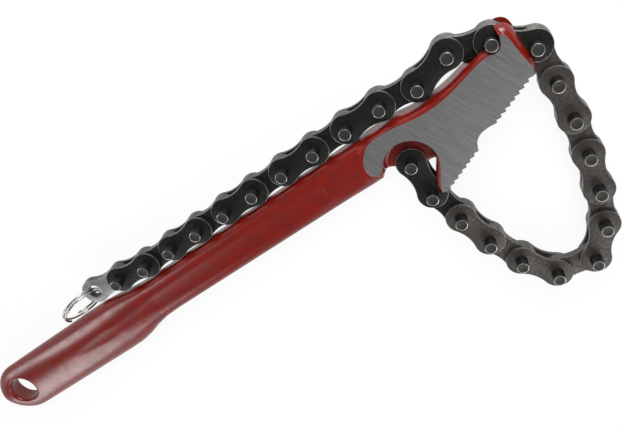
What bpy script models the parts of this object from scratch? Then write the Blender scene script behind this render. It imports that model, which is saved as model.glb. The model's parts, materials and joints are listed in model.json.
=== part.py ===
"""Chain pipe wrench lying flat: forged handle with a toothed jaw, leaf chain and split ring.

Lengths are in metres. X runs along the handle towards the jaw, Y towards the side where the
slack chain lies, Z is up. The origin is on the handle's centre line, on the ground lower face
of the jaw.
"""
import bpy
import bmesh
import math
from mathutils import Vector

MM = 0.001
FULL_TURN = 360.0
HALF_TURN = 0.5 * FULL_TURN

# Chain
PITCH = 15.875 * MM
LOOP_LINKS = 13
TAIL_LINKS = 13
PLATE_END_RADIUS = 6.2 * MM
PLATE_WAIST_HALF = 4.6 * MM
PLATE_THICKNESS = 1.5 * MM
PLATE_GAP = 0.25 * MM
PIN_RADIUS = 2.5 * MM
PIN_PROUD = 1.75 * MM
PIN_CHAMFER = 0.2 * MM
PIN_CLEARANCE = 0.3 * MM
END_ARC_STEPS = 9
WAIST_ARC_STEPS = 3
BORE_SIDES = 10

# Jaw
JAW_THICKNESS = 14.0 * MM
ANCHOR_X = -27.9 * MM
ANCHOR_Y = -9.8 * MM
HOOK_X = 22.0 * MM
HOOK_Y = 13.0 * MM
SEAT_CLEARANCE = 0.5 * MM
SLOT_CLEARANCE = 0.35 * MM
SLOT_SIDE_CLEARANCE = 0.7 * MM
RECESS_RADIUS = 10.4 * MM
BORDER_WIDTH = 0.8 * MM
BORDER_FALL = 4.0 * MM
LUG_RADIUS = 5.6 * MM
TOOTH_DEPTH = 0.95 * MM
TOOTH_FACE_SHARE = 0.22
UPPER_TEETH = 8
LOWER_TEETH = 7
SEAT_BORDER_SHARES = (1.1, 0.1)
GROUND_SEAT_START = 232.0
GROUND_SEAT_END = 349.0
BODY_SEAT_START = 205.0
BODY_SEAT_END = 354.0
SEAT_STEPS = 6
RECESS_START = -8.0
RECESS_END = 150.0
RECESS_STEPS = 9
CLAW_SWING = -68.0
SLOT_REACH_SHARE = 0.45
SLOT_ARC_STEPS = 16
WEB_START = -18.0
WEB_END = 160.0
WEB_ROOT_SHARE = 2.0
LUG_START = 178.0
LUG_END = 320.0
LUG_STEPS = 6
OVERRUN = 3.0 * MM

# Handle
HANDLE_REACH = 271.5 * MM
NECK_END_X = -39.6 * MM
NECK_UP = 9.3 * MM
NECK_DOWN = 8.8 * MM
GRIP_UP = 12.7 * MM
GRIP_DOWN = 14.0 * MM
NECK_HALF_THICKNESS = 5.7 * MM
GRIP_HALF_THICKNESS = 6.7 * MM
END_HALF_THICKNESS = 4.9 * MM
END_ROUND_LENGTH = 15.0 * MM
HANG_HOLE_RADIUS = 7.0 * MM
HANG_HOLE_WALL = 7.3 * MM
HANG_HOLE_SIDES = 28
PANEL_DEPTH = 0.8 * MM
PANEL_HALF_WIDTH = 4.8 * MM
PANEL_START_X = -63.0 * MM
PANEL_END_X = -176.0 * MM
PANEL_Y = 0.6 * MM
PANEL_STEPS = 6
SHARP_ANGLE = 35.0
TAIL_REST_GAP = 0.75 * MM
TAIL_BEND_SHARES = (0.33, -0.12)

# Split ring
RING_RADIUS = 10.0 * MM
RING_WIRE_RADIUS = 0.5 * MM
RING_COIL_PITCH = 1.45 * MM
RING_HOLE_RADIUS = 3.2 * MM
RING_TURNS = 2
RING_STEPS = 22
RING_SIDES = 6
RING_HEADING = 197.0
RING_LEAN = 28.0
RING_DROP = 18.0

LOOP_HEADINGS = (-93.3, -77.7, -75.6, -68.7, -54.7, -8.1, 49.2, 70.6, 77.0, 80.8, 84.4, 85.9, 138.2)
LEFT_RUN = (1, 2, 3, 4)
RIGHT_RUN = (7, 8, 9, 10)
SOLVER_ROUNDS = 12

STACK_HALF = 2.0 * PLATE_THICKNESS + 1.5 * PLATE_GAP
INNER_HALF = PLATE_THICKNESS + 0.5 * PLATE_GAP
MID_Z = 0.5 * JAW_THICKNESS
PIN_HALF = MID_Z + PIN_PROUD
SLOT_HALF = STACK_HALF + SLOT_CLEARANCE
BORE_RADIUS = PIN_RADIUS + PIN_CLEARANCE
SPAN_X = HOOK_X - ANCHOR_X
SPAN_Y = HOOK_Y - ANCHOR_Y


def clear_scene():
    for item in list(bpy.data.objects):
        bpy.data.objects.remove(item, do_unlink=True)


def paint(name, colour, metallic, roughness):
    material = bpy.data.materials.new(name)
    material.use_nodes = True
    shader = material.node_tree.nodes["Principled BSDF"]
    shader.inputs["Base Color"].default_value = (*colour, 1.0)
    shader.inputs["Metallic"].default_value = metallic
    shader.inputs["Roughness"].default_value = roughness
    return material


def polar(centre, radius, degrees):
    angle = math.radians(degrees)
    return (centre[0] + radius * math.cos(angle), centre[1] + radius * math.sin(angle))


def arc(centre, radius, start, end, steps):
    return [polar(centre, radius, start + (end - start) * i / steps) for i in range(steps + 1)]


def circle(centre, radius, sides):
    return arc(centre, radius, 0.0, FULL_TURN, sides)[:-1]


def finish_mesh(bm, name):
    bmesh.ops.recalc_face_normals(bm, faces=bm.faces)
    mesh = bpy.data.meshes.new(name)
    bm.to_mesh(mesh)
    bm.free()
    return mesh


def add_object(name, mesh, material):
    item = bpy.data.objects.new(name, mesh)
    bpy.context.scene.collection.objects.link(item)
    if material is not None and not mesh.materials:
        mesh.materials.append(material)
    return item


def loft_mesh(name, rings, split=False):
    """A closed skin through rings of equal length, capped at both ends.

    Curved skins are split into triangles, because a bent quad has no one plane to cut.
    """
    bm = bmesh.new()
    loops = [[bm.verts.new(point) for point in ring] for ring in rings]
    for low, high in zip(loops, loops[1:]):
        count = len(low)
        for i in range(count):
            j = (i + 1) % count
            bm.faces.new((low[i], low[j], high[j], high[i]))
    bm.faces.new(list(reversed(loops[0])))
    bm.faces.new(loops[-1])
    if split:
        bmesh.ops.triangulate(bm, faces=[face for face in bm.faces if len(face.verts) == 4])
    return finish_mesh(bm, name)


def prism_mesh(name, outline, low, high):
    return loft_mesh(name, [[(x, y, z) for x, y in outline] for z in (low, high)])


def plate_mesh(name, outline, holes, low, high):
    """A flat plate with round holes, filled from its edge loops and then extruded."""
    bm = bmesh.new()
    for loop in [outline] + holes:
        verts = [bm.verts.new((x, y, low)) for x, y in loop]
        for a, b in zip(verts, verts[1:] + verts[:1]):
            bm.edges.new((a, b))
    bmesh.ops.triangle_fill(bm, edges=bm.edges[:], use_beauty=True, use_dissolve=False)
    raised = bmesh.ops.extrude_face_region(bm, geom=bm.faces[:])
    top = [item for item in raised["geom"] if isinstance(item, bmesh.types.BMVert)]
    bmesh.ops.translate(bm, verts=top, vec=(0.0, 0.0, high - low))
    return finish_mesh(bm, name)


def combine(target, other, operation):
    """Cut or join another object into the target, keep the result and drop the other."""
    modifier = target.modifiers.new(operation.lower(), "BOOLEAN")
    modifier.operation = operation
    modifier.solver = "EXACT"
    modifier.object = other
    graph = bpy.context.evaluated_depsgraph_get()
    result = bpy.data.meshes.new_from_object(target.evaluated_get(graph))
    target.modifiers.clear()
    target.data = result
    bpy.data.objects.remove(other, do_unlink=True)


def cut(target, mesh):
    combine(target, add_object("cutter", mesh, None), "DIFFERENCE")


def join(target, mesh):
    combine(target, add_object("joiner", mesh, None), "UNION")


# Where the chain lies

def walk(start, headings):
    points = [start]
    for heading in headings:
        points.append(polar(points[-1], PITCH, heading))
    return points


def bent_headings(left, right):
    headings = list(LOOP_HEADINGS)
    for i in LEFT_RUN:
        headings[i] += left
    for i in RIGHT_RUN:
        headings[i] += right
    return headings


def closing_gap(left, right):
    end = walk((ANCHOR_X, ANCHOR_Y), bent_headings(left, right))[-1]
    return (end[0] - HOOK_X, end[1] - HOOK_Y)


def loop_headings():
    """Turn the loop's two long runs until the last pin lies in the hook."""
    left = 0.0
    right = 0.0
    step = 0.01
    for _ in range(SOLVER_ROUNDS):
        gx, gy = closing_gap(left, right)
        ax, ay = closing_gap(left + step, right)
        bx, by = closing_gap(left, right + step)
        a, b = (ax - gx) / step, (bx - gx) / step
        c, d = (ay - gy) / step, (by - gy) / step
        det = a * d - b * c
        left -= (gx * d - gy * b) / det
        right -= (a * gy - c * gx) / det
    return bent_headings(left, right)


def width_above(x):
    """How far the handle reaches above its axis at a place along it."""
    along = (NECK_END_X - x) / straight_length()
    for (near, low, _), (far, high, _) in zip(STATION_SHARES, STATION_SHARES[1:]):
        if along < far:
            share = max(0.0, (along - near) / (far - near))
            return mix(NECK_UP, GRIP_UP, mix(low, high, share))
    return GRIP_UP


def resting_height(x):
    """Where a slack pin lies when the plates' round ends rest on the handle beside it."""
    return width_above(x - PLATE_END_RADIUS) + PLATE_END_RADIUS + TAIL_REST_GAP


def tail_points(start):
    """Pins of the slack chain, lying along the back of the jaw, neck and grip."""
    bends = (HOOK_Y + TAIL_BEND_SHARES[0] * PITCH,
             resting_height(start[0]) + TAIL_BEND_SHARES[1] * PITCH)
    points = []
    here = start
    for i in range(TAIL_LINKS):
        height = bends[i] if i < len(bends) else resting_height(here[0] - PITCH)
        rise = height - here[1]
        here = (here[0] - math.sqrt(PITCH ** 2 - rise ** 2), height)
        points.append(here)
    return points


def chain_points():
    loop = walk((ANCHOR_X, ANCHOR_Y), loop_headings())
    return loop + tail_points(loop[-1])


# Jaw outline, as pairs: ground face edge and body edge, in shares of the pitch from the hook

TONGUE_SHARES = (
    (-3.830, -1.140, -3.780, -1.260),
    (-3.987, -1.146, -4.031, -1.342),
    (-4.069, -0.945, -4.252, -1.134),
    (-4.031, -0.724, -4.315, -0.756),
    (-3.880, -0.529, -4.220, -0.378),
    (-3.654, -0.378, -3.780, -0.246),
    (-3.370, -0.328, -3.402, -0.246),
)
BACK_SHARES = (
    (-2.898, -0.359, -2.898, -0.290),
    (-2.394, -0.447, -2.394, -0.384),
    (-1.890, -0.479, -1.890, -0.409),
    (-1.386, -0.422, -1.386, -0.365),
    (-0.882, -0.302, -0.882, -0.246),
    (-0.504, -0.214, -0.535, -0.139),
    (-0.315, -0.195, -0.315, -0.057),
)
PRONG_SHARES = (
    (0.220, 0.019, 0.206, 0.139),
    (0.258, 0.057, 0.206, 0.239),
    (0.290, 0.063, 0.240, 0.283),
    (0.328, 0.038, 0.353, 0.271),
    (0.359, -0.038, 0.479, 0.189),
    (0.378, -0.157, 0.548, 0.031),
    (0.397, -0.378, 0.548, -0.315),
    (0.422, -0.630, 0.542, -0.598),
    (0.447, -0.850, 0.567, -0.819),
    (0.454, -0.976, 0.542, -0.957),
    (0.422, -1.065, 0.447, -1.065),
)
UPPER_ROW_SHARES = ((0.373, -1.141), (-0.878, -1.635))
THROAT_SHARES = (
    (-1.115, -1.622, -1.115, -1.622),
    (-1.330, -1.655, -1.330, -1.655),
    (-1.478, -1.752, -1.478, -1.752),
    (-1.568, -1.872, -1.568, -1.872),
)
LOWER_ROW_SHARES = ((-1.603, -1.986), (-2.684, -2.450))
CLAW_SHARES = (
    (-2.791, -2.450, -2.791, -2.469),
    (-2.898, -2.450, -2.935, -2.494),
    (-2.935, -2.381, -2.998, -2.406),
    (-2.898, -2.255, -2.961, -2.268),
    (-2.746, -2.009, -2.803, -1.997),
    (-2.557, -1.739, -2.614, -1.726),
)
WEB_SHARES = ((-3.843, -1.216), (-3.622, -1.279), (-3.465, -1.398))
BORDER_LEVEL_SHARES = (0.0, 0.25, 0.6, 1.0)


def jaw_point(x_share, y_share):
    """A point placed from the hook's axis by shares of the chain's pitch."""
    return (HOOK_X + x_share * PITCH, HOOK_Y + y_share * PITCH)


def jaw_pairs(shares):
    return [(jaw_point(a, b), jaw_point(c, d)) for a, b, c, d in shares]


def mix(a, b, share):
    return a + share * (b - a)


def between(a, b, share):
    return (mix(a[0], b[0], share), mix(a[1], b[1], share))


def seat_pairs():
    """The seat of the hook: an arc a little wider than the pin that lies in it."""
    hook = (HOOK_X, HOOK_Y)
    radius = PIN_RADIUS + SEAT_CLEARANCE
    pairs = []
    for i in range(SEAT_STEPS + 1):
        share = i / SEAT_STEPS
        edge = radius + BORDER_WIDTH * mix(SEAT_BORDER_SHARES[0], SEAT_BORDER_SHARES[1], share)
        ground = polar(hook, edge, mix(GROUND_SEAT_START, GROUND_SEAT_END, share))
        pairs.append((ground, polar(hook, radius, mix(BODY_SEAT_START, BODY_SEAT_END, share))))
    return pairs


def tooth_row(ends, count):
    """From tip to tip: a long back falls into the metal, then a steep face rises to the next."""
    start = Vector(jaw_point(*ends[0]))
    end = Vector(jaw_point(*ends[1]))
    step = (end - start) / count
    inward = Vector((step.y, -step.x)).normalized()
    points = [start]
    for i in range(count):
        tip = start + step * (i + 1)
        points.append(tip - step * TOOTH_FACE_SHARE + inward * TOOTH_DEPTH)
        points.append(tip)
    return [(tuple(point), tuple(point)) for point in points]


def recess_pairs():
    """The round recess about the anchor pin, from the claw round to the tongue."""
    anchor = (ANCHOR_X, ANCHOR_Y)
    grounds = arc(anchor, RECESS_RADIUS + BORDER_WIDTH, RECESS_START, RECESS_END, RECESS_STEPS)
    bodies = arc(anchor, RECESS_RADIUS, RECESS_START, RECESS_END, RECESS_STEPS)
    return list(zip(grounds, bodies))


def jaw_outline():
    """All pairs in order, clockwise: tongue, back, hook, teeth, throat, teeth, claw, recess."""
    pairs = jaw_pairs(TONGUE_SHARES) + jaw_pairs(BACK_SHARES)
    pairs += seat_pairs() + jaw_pairs(PRONG_SHARES)
    pairs += tooth_row(UPPER_ROW_SHARES, UPPER_TEETH)
    pairs += jaw_pairs(THROAT_SHARES)
    pairs += tooth_row(LOWER_ROW_SHARES, LOWER_TEETH)
    pairs += jaw_pairs(CLAW_SHARES)
    return pairs + recess_pairs()


def jaw_mesh():
    """Ground faces joined by a rounded border that swells to the body's edge."""
    pairs = list(reversed(jaw_outline()))
    rings = []
    for level in BORDER_LEVEL_SHARES:
        swell = math.sqrt(1.0 - (1.0 - level) ** 2)
        flat = [between(ground, body, swell) for ground, body in pairs]
        rings.append([(x, y, level * BORDER_FALL) for x, y in flat])
    top = [[(x, y, JAW_THICKNESS - z) for x, y, z in ring] for ring in reversed(rings)]
    return loft_mesh("jaw", rings + top, split=True)


def hull(points):
    """Convex hull of flat points, counter-clockwise."""
    ordered = sorted(set(points))

    def half(sequence):
        chain = []
        for p in sequence:
            while len(chain) > 1:
                (ax, ay), (bx, by) = chain[-2], chain[-1]
                if (bx - ax) * (p[1] - ay) - (by - ay) * (p[0] - ax) > 0.0:
                    break
                chain.pop()
            chain.append(p)
        return chain[:-1]
    return half(ordered) + half(list(reversed(ordered)))


def disc_hull(centres, radius):
    points = []
    for centre in centres:
        points += circle(centre, radius, SLOT_ARC_STEPS)
    return hull(points)


def offset_path(route, distance):
    """The route moved to its right hand by a distance, with mitred corners."""
    ways = [(Vector(b) - Vector(a)).normalized() for a, b in zip(route, route[1:])]
    sides = [Vector((way.y, -way.x)) for way in ways]
    points = [Vector(route[0]) - ways[0] * distance + sides[0] * distance]
    for i in range(1, len(ways)):
        both = (sides[i - 1] + sides[i]).normalized()
        points.append(Vector(route[i]) + both * (distance / both.dot(sides[i])))
    points.append(Vector(route[-1]) + ways[-1] * distance + sides[-1] * distance)
    return [tuple(point) for point in points]


def hook_slot(points):
    """Space between the two prongs for the links that lie in the hook, open away from the jaw."""
    seat = points[LOOP_LINKS]
    over = between(seat, points[LOOP_LINKS + 1], SLOT_REACH_SHARE)
    before = points[LOOP_LINKS - 1]
    under = between(before, points[LOOP_LINKS - 2], SLOT_REACH_SHARE)
    edge = offset_path([over, seat, before, under], PLATE_END_RADIUS + SLOT_SIDE_CLEARANCE)
    far = before[0] + PITCH
    high = seat[1] + PITCH
    return edge + [(far, edge[-1][1]), (far, high), (edge[0][0], high)]


def claw_slot(points):
    """Space inside the forked claw for the first links, also when they swing to the jaw."""
    radius = PLATE_END_RADIUS + SLOT_SIDE_CLEARANCE
    swung = polar(points[0], PITCH, CLAW_SWING)
    away = (points[1][0] - SLOT_REACH_SHARE * PITCH, points[1][1] - PITCH)
    beyond = (swung[0], swung[1] - PITCH)
    return disc_hull([points[0], points[1], swung, away, beyond], radius)


def web_outline():
    """The thin web that carries the anchor pin across the recess."""
    anchor = (ANCHOR_X, ANCHOR_Y)
    wide = RECESS_RADIUS + WEB_ROOT_SHARE * BORDER_WIDTH
    outline = arc(anchor, wide, WEB_START, WEB_END, RECESS_STEPS)
    outline += [jaw_point(a, b) for a, b in WEB_SHARES]
    outline += arc(anchor, LUG_RADIUS, LUG_START, LUG_END, LUG_STEPS)
    return outline


# Handle

STATION_SHARES = (
    (0.000, 0.00, 0.00), (0.200, 0.00, 0.00), (0.420, 0.00, 0.00), (0.565, 0.05, 0.04),
    (0.600, 0.33, 0.20), (0.632, 0.72, 0.45), (0.665, 0.97, 0.75), (0.710, 1.00, 1.00),
    (0.860, 1.00, 0.95),
)
END_ANGLES = (0.0, 22.0, 42.0, 60.0, 75.0, 86.0)
END_WIDTH_POWER = 0.85
END_THICKNESS_POWER = 0.25
NECK_BOXINESS = 3.6
GRIP_BOXINESS = 2.7
SECTION_STEPS = 24


def section(x, up, down, half, boxiness):
    """A rounded section across the handle, with its own reach above and below the axis."""
    ring = []
    for i in range(SECTION_STEPS):
        angle = 2.0 * math.pi * (i + 0.5) / SECTION_STEPS
        c, s = math.cos(angle), math.sin(angle)
        reach = up if c > 0.0 else down
        y = reach * math.copysign(abs(c) ** (2.0 / boxiness), c)
        z = half * math.copysign(abs(s) ** (2.0 / boxiness), s)
        ring.append((x, y, MID_Z + z))
    return ring


def straight_length():
    """From the neck's end in the jaw to where the rounded end begins."""
    return HANDLE_REACH + NECK_END_X - END_ROUND_LENGTH


def handle_rings():
    """Sections from inside the jaw along the neck and the grip to the rounded end."""
    straight = straight_length()
    rings = []
    for along, wide, thick in STATION_SHARES:
        up = mix(NECK_UP, GRIP_UP, wide)
        down = mix(NECK_DOWN, GRIP_DOWN, wide)
        half = mix(NECK_HALF_THICKNESS, GRIP_HALF_THICKNESS, thick)
        boxiness = mix(NECK_BOXINESS, GRIP_BOXINESS, wide)
        rings.append(section(NECK_END_X - along * straight, up, down, half, boxiness))
    for degrees in END_ANGLES:
        angle = math.radians(degrees)
        x = NECK_END_X - straight - END_ROUND_LENGTH * math.sin(angle)
        width = math.cos(angle) ** END_WIDTH_POWER
        half = END_HALF_THICKNESS * math.cos(angle) ** END_THICKNESS_POWER
        rings.append(section(x, GRIP_UP * width, GRIP_DOWN * width, half, GRIP_BOXINESS))
    return rings


def panel_outline():
    left = (PANEL_END_X, PANEL_Y)
    right = (PANEL_START_X - PANEL_HALF_WIDTH, PANEL_Y)
    near = arc(right, PANEL_HALF_WIDTH, -90.0, 90.0, PANEL_STEPS)
    return near + arc(left, PANEL_HALF_WIDTH, 90.0, 270.0, PANEL_STEPS)


def cut_panels(handle):
    """A shallow sunk panel along each wide side of the neck."""
    face = MID_Z + NECK_HALF_THICKNESS
    low_face = MID_Z - NECK_HALF_THICKNESS
    outline = panel_outline()
    cut(handle, prism_mesh("panel", outline, face - PANEL_DEPTH, face + OVERRUN))
    cut(handle, prism_mesh("panel", outline, low_face - OVERRUN, low_face + PANEL_DEPTH))


def cut_holes(handle):
    """The anchor pin's bore and the hanging hole, both right through."""
    low, high = -OVERRUN, JAW_THICKNESS + OVERRUN
    cut(handle, prism_mesh("bore", circle((ANCHOR_X, ANCHOR_Y), BORE_RADIUS, BORE_SIDES), low, high))
    x = HANG_HOLE_WALL + HANG_HOLE_RADIUS - HANDLE_REACH
    hang = circle((x, 0.5 * (GRIP_UP - GRIP_DOWN)), HANG_HOLE_RADIUS, HANG_HOLE_SIDES)
    cut(handle, prism_mesh("hole", hang, low, high))


def make_handle(points, material):
    handle = add_object("handle", loft_mesh("handle", handle_rings(), split=True), material)
    cut_panels(handle)
    join(handle, jaw_mesh())
    low, high = MID_Z - SLOT_HALF, MID_Z + SLOT_HALF
    cut(handle, prism_mesh("hook_slot", hook_slot(points), low, high))
    cut(handle, prism_mesh("claw_slot", claw_slot(points), low, high))
    join(handle, prism_mesh("web", web_outline(), MID_Z - INNER_HALF, MID_Z + INNER_HALF))
    cut_holes(handle)
    handle.data.shade_smooth()
    handle.data.set_sharp_from_angle(angle=math.radians(SHARP_ANGLE))


# Chain pieces, each with its near pin's axis at its own origin and Z zero half way up the stack

def plate_outline():
    """A waisted plate: round ends joined by tangent hollow arcs."""
    half = 0.5 * PITCH
    waist = (half ** 2 + PLATE_WAIST_HALF ** 2 - PLATE_END_RADIUS ** 2)
    waist /= 2.0 * (PLATE_END_RADIUS - PLATE_WAIST_HALF)
    touch = math.degrees(math.atan2(PLATE_WAIST_HALF + waist, half))
    rest = HALF_TURN - touch
    outline = arc((0.0, 0.0), PLATE_END_RADIUS, touch, FULL_TURN - touch, END_ARC_STEPS)
    below = arc((half, -PLATE_WAIST_HALF - waist), waist, rest, touch, WAIST_ARC_STEPS)
    outline += below[1:-1]
    outline += arc((PITCH, 0.0), PLATE_END_RADIUS, -rest, rest, END_ARC_STEPS)
    above = arc((half, PLATE_WAIST_HALF + waist), waist, -touch, -rest, WAIST_ARC_STEPS)
    outline += above[1:-1]
    return outline


def bored_plate(name, low, far_radius=BORE_RADIUS):
    holes = [circle((0.0, 0.0), BORE_RADIUS, BORE_SIDES), circle((PITCH, 0.0), far_radius, BORE_SIDES)]
    return plate_mesh(name, plate_outline(), holes, low, low + PLATE_THICKNESS)


def pin_mesh(x):
    rings = []
    inner = PIN_RADIUS - PIN_CHAMFER
    for radius, z in ((inner, -PIN_HALF), (PIN_RADIUS, PIN_CHAMFER - PIN_HALF),
                      (PIN_RADIUS, PIN_HALF - PIN_CHAMFER), (inner, PIN_HALF)):
        rings.append([(px, py, z) for px, py in circle((x, 0.0), radius, BORE_SIDES)])
    return loft_mesh("pin", rings)


def pinned_plate():
    """The upper outer plate with the two pins that are riveted into it."""
    low = INNER_HALF + PLATE_GAP
    plate = add_object("pinned", prism_mesh("pinned", plate_outline(), low, low + PLATE_THICKNESS), None)
    join(plate, pin_mesh(0.0))
    join(plate, pin_mesh(PITCH))
    mesh = plate.data
    bpy.data.objects.remove(plate, do_unlink=True)
    return mesh


def place(item, start, end):
    item.location = (start[0], start[1], MID_Z)
    item.rotation_euler = (0.0, 0.0, math.atan2(end[1] - start[1], end[0] - start[0]))


def make_chain(points, material):
    pinned = pinned_plate()
    cap = bored_plate("cap", -INNER_HALF - PLATE_GAP - PLATE_THICKNESS)
    upper = bored_plate("upper", 0.5 * PLATE_GAP)
    lower = bored_plate("lower", -0.5 * PLATE_GAP - PLATE_THICKNESS)
    last_upper = bored_plate("last_upper", 0.5 * PLATE_GAP, RING_HOLE_RADIUS)
    last_lower = bored_plate("last_lower", -0.5 * PLATE_GAP - PLATE_THICKNESS, RING_HOLE_RADIUS)
    last = len(points) - 2
    for k in range(len(points) - 1):
        name = "link_%02d" % (k + 1)
        if k % 2 == 0:
            pieces = ((name + "_pin_plate", pinned), (name + "_cap_plate", cap))
        elif k == last:
            pieces = ((name + "_upper_plate", last_upper), (name + "_lower_plate", last_lower))
        else:
            pieces = ((name + "_upper_plate", upper), (name + "_lower_plate", lower))
        for piece, mesh in pieces:
            item = add_object(piece, mesh, material)
            place(item, points[k], points[k + 1])
    for mesh in (pinned, cap, upper, lower, last_upper, last_lower):
        mesh.shade_smooth()
        mesh.set_sharp_from_angle(angle=math.radians(40.0))


def ring_route():
    """Two turns of wire wound side by side, passing through the last plates' hole."""
    heading = math.radians(RING_HEADING)
    lean = math.radians(RING_LEAN)
    drop = math.radians(RING_DROP)
    outward = Vector((math.cos(heading), math.sin(heading), 0.0))
    side = Vector((-math.sin(heading), math.cos(heading), 0.0))
    rise = Vector((0.0, 0.0, math.cos(lean))) - side * math.sin(lean)
    normal = outward.cross(rise)
    centre = outward * math.cos(drop) * RING_RADIUS + rise * math.sin(drop) * RING_RADIUS
    route = []
    total = RING_TURNS * RING_STEPS
    for i in range(total - 1):
        turns = (i + 1) / RING_STEPS
        turn = 2.0 * math.pi * turns
        lift = RING_COIL_PITCH * (turns - 0.5 * RING_TURNS)
        spoke = outward * math.cos(turn) + rise * math.sin(turn)
        route.append(centre + spoke * RING_RADIUS + normal * lift)
    return route, normal


def least_gap(route):
    """Clear room between the wire and its own next turn, measured on points of the route."""
    apart = RING_STEPS // 2
    reaches = [(a - b).length for i, a in enumerate(route) for b in route[i + apart:]]
    return min(reaches) - 2.0 * RING_WIRE_RADIUS


def make_ring(point, material):
    route, normal = ring_route()
    print("least gap of the ring's wire to itself, mm: %.2f" % (least_gap(route) / MM))
    rings = []
    for i, here in enumerate(route):
        before = route[max(0, i - 1)]
        after = route[min(len(route) - 1, i + 1)]
        along = (after - before).normalized()
        side = normal.cross(along).normalized()
        up = along.cross(side)
        ring = []
        for j in range(RING_SIDES):
            angle = 2.0 * math.pi * j / RING_SIDES
            ring.append(here + (side * math.cos(angle) + up * math.sin(angle)) * RING_WIRE_RADIUS)
        rings.append(ring)
    item = add_object("split_ring", loft_mesh("split_ring", rings, split=True), material)
    item.location = (point[0], point[1], MID_Z)
    item.data.shade_smooth()
    item.data.set_sharp_from_angle(angle=math.radians(50.0))


def main():
    clear_scene()
    points = chain_points()
    red = paint("red_enamel", (0.42, 0.02, 0.015), 0.0, 0.35)
    black = paint("blackened_steel", (0.035, 0.035, 0.033), 0.8, 0.4)
    nickel = paint("nickel_wire", (0.62, 0.61, 0.58), 1.0, 0.25)
    make_handle(points, red)
    make_chain(points, black)
    make_ring(points[-1], nickel)


main()
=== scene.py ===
# %% [markdown]
# # A chain pipe wrench
# The wrench lies flat on a pale table. Its CAD model is loaded first and stays as it is: it says
# where each piece is and how it moves. Everything below dresses that frame, piece by piece.

# %% Load the frame
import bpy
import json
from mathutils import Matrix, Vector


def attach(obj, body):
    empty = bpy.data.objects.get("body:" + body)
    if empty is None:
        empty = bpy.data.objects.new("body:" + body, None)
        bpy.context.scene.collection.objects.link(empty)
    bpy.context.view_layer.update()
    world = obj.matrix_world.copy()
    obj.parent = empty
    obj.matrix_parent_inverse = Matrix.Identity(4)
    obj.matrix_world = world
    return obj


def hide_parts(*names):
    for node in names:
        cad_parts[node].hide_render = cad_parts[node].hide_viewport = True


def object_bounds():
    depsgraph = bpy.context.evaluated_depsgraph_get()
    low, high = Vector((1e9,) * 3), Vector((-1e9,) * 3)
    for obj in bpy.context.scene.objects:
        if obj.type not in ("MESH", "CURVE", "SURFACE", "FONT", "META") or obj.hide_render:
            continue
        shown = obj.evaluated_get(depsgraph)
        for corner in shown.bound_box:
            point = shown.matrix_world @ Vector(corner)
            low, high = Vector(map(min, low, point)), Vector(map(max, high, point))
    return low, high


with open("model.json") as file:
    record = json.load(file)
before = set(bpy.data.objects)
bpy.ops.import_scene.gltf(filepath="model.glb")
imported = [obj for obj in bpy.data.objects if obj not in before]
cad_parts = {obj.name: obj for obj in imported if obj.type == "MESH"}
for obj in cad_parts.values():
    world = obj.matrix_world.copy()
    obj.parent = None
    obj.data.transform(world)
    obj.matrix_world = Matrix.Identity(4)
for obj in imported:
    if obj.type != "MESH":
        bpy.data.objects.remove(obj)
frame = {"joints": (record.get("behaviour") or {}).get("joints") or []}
cad_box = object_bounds()

# %% Blender's modules and the unit
import json
import math
import bmesh
import bpy
import numpy as np
from mathutils import Matrix, Vector
MM = 0.001

# %% [markdown]
# ## Where the pins are
# A chain is only as right as its pins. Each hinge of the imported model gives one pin's axis, so
# the dressed links can be laid between them without measuring anything twice.

# %% Pin axes
joint_places = {joint["name"]: joint["pos_m"] for joint in frame["joints"]}
pin_names = sorted(name for name in joint_places if name.startswith("hinge_"))
pins = [Vector(joint_places[name]) for name in pin_names]
pins.append(Vector(joint_places["ring_hinge"]))
MID_Z = pins[0].z
PITCH = (pins[1] - pins[0]).length
ANCHOR = pins[0]
HOOK = pins[13]
print("pins:", len(pins), "pitch in mm:", round(PITCH / MM, 3))

# %% [markdown]
# ## The camera
# The picture was taken from close by, looking down at a slant, with the camera rolled so that
# the handle runs from the lower left to the upper right. Equal chain links far apart in the
# picture gave the place, the aim and the focal length.

# %% Camera
CAMERA_PLACE = Vector((46.84, 91.73, 277.8)) * MM
CAMERA_AIM = Vector((-0.3900, -0.3121, -0.8663)).normalized()
CAMERA_RIGHT = Vector((0.7741, -0.6205, -0.1249)).normalized()
CAMERA_LENS = 43.48
SENSOR_WIDTH = 36.0
NEAREST_SEEN = 10.0 * MM
camera = bpy.data.objects.new("camera", bpy.data.cameras.new("camera"))
bpy.context.scene.collection.objects.link(camera)
camera_up = CAMERA_RIGHT.cross(CAMERA_AIM)
axes = Matrix((CAMERA_RIGHT, camera_up, -CAMERA_AIM)).transposed()
camera.matrix_world = Matrix.Translation(CAMERA_PLACE) @ axes.to_4x4()
camera.data.sensor_width = SENSOR_WIDTH
camera.data.lens = CAMERA_LENS
camera.data.clip_start = NEAREST_SEEN
bpy.context.scene.camera = camera
print("camera height in mm:", round(camera.location.z / MM, 1))

# %% [markdown]
# ## Helpers for materials
# A material is a tree of nodes, and the same few steps come back in every finish: make the tree,
# add a node, spread noise over the piece, turn its grey into colours and raise a bump. Written
# once here, they leave each finish below with only the lines that make it what it is.

# %% Helpers for shader nodes
def new_material(name):
    material = bpy.data.materials.new(name)
    material.use_nodes = True
    tree = material.node_tree
    return material, tree, tree.nodes["Principled BSDF"]


def add_node(tree, kind, **settings):
    node = tree.nodes.new(kind)
    for key, value in settings.items():
        setattr(node, key, value)
    return node


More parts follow.
